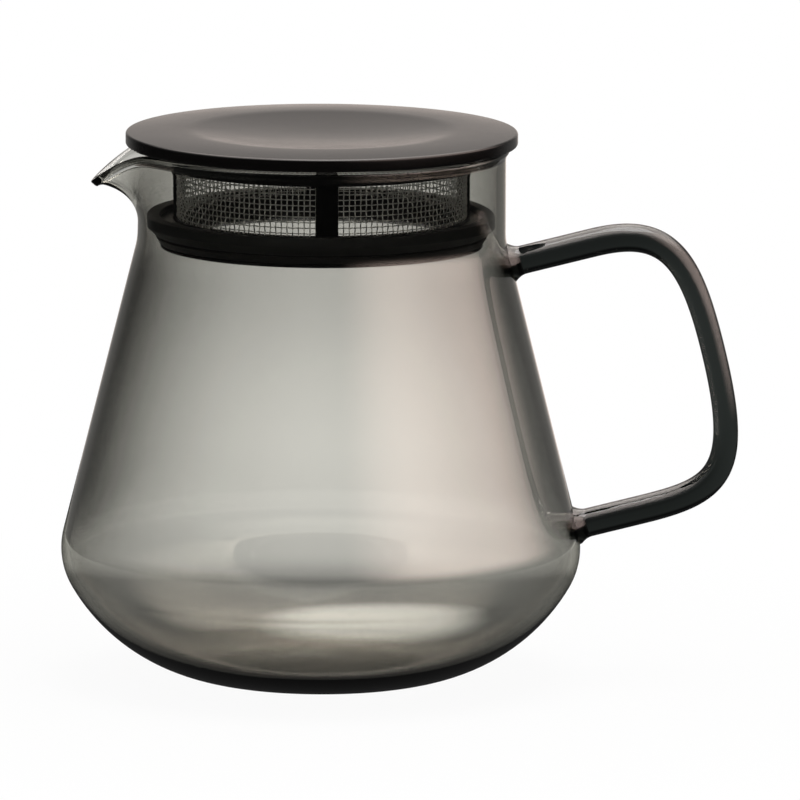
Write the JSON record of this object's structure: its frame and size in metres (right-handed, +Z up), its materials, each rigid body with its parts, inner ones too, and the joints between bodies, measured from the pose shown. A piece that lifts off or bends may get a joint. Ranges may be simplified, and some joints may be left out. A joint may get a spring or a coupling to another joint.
{
  "type": "coffee server carafe",
  "caption": "Smoke-grey glass server with a drooping pouring lip and a bent rod handle, closed by a dished black lid that carries a mesh strainer and a neck seal.",
  "frame": {"origin": "middle of the flat base, on the vessel's axis", "axes": "+Z up, +X towards the handle, -X towards the pouring lip"},
  "size_m": [0.1624, 0.1246, 0.133],
  "materials": {
    "vessel_glass": "clear smoke-grey borosilicate glass, blown, fire-polished",
    "handle_glass": "clear smoke-grey glass rod, drawn and bent, fire-polished",
    "lid_plastic": "black moulded polypropylene, fine satin grain on top",
    "frame_plastic": "black moulded polypropylene, smooth",
    "mesh_steel": "plain-woven bright stainless wire",
    "seal_silicone": "black moulded silicone, dull"
  },
  "bodies": {
    "vessel": {"glass_vessel": "vessel_glass", "glass_handle": "handle_glass"},
    "lid": {"lid_cover": "lid_plastic"},
    "strainer": {"strainer_frame": "frame_plastic", "mesh_front_handle_side": "mesh_steel", "mesh_back_handle_side": "mesh_steel", "mesh_back_spout_side": "mesh_steel", "mesh_front_spout_side": "mesh_steel", "seal_ring": "seal_silicone"}
  },
  "joints": [
    {"name": "lid_lift", "type": "slide", "parent": "vessel", "child": "lid", "axis": [0, 0, 1], "range_m": [0, 0.06]},
    {"name": "strainer_twist", "type": "hinge", "parent": "lid", "child": "strainer", "pos_m": [0, 0, 0.126], "axis": [0, 0, 1], "range_deg": [0, 30]}
  ]
}
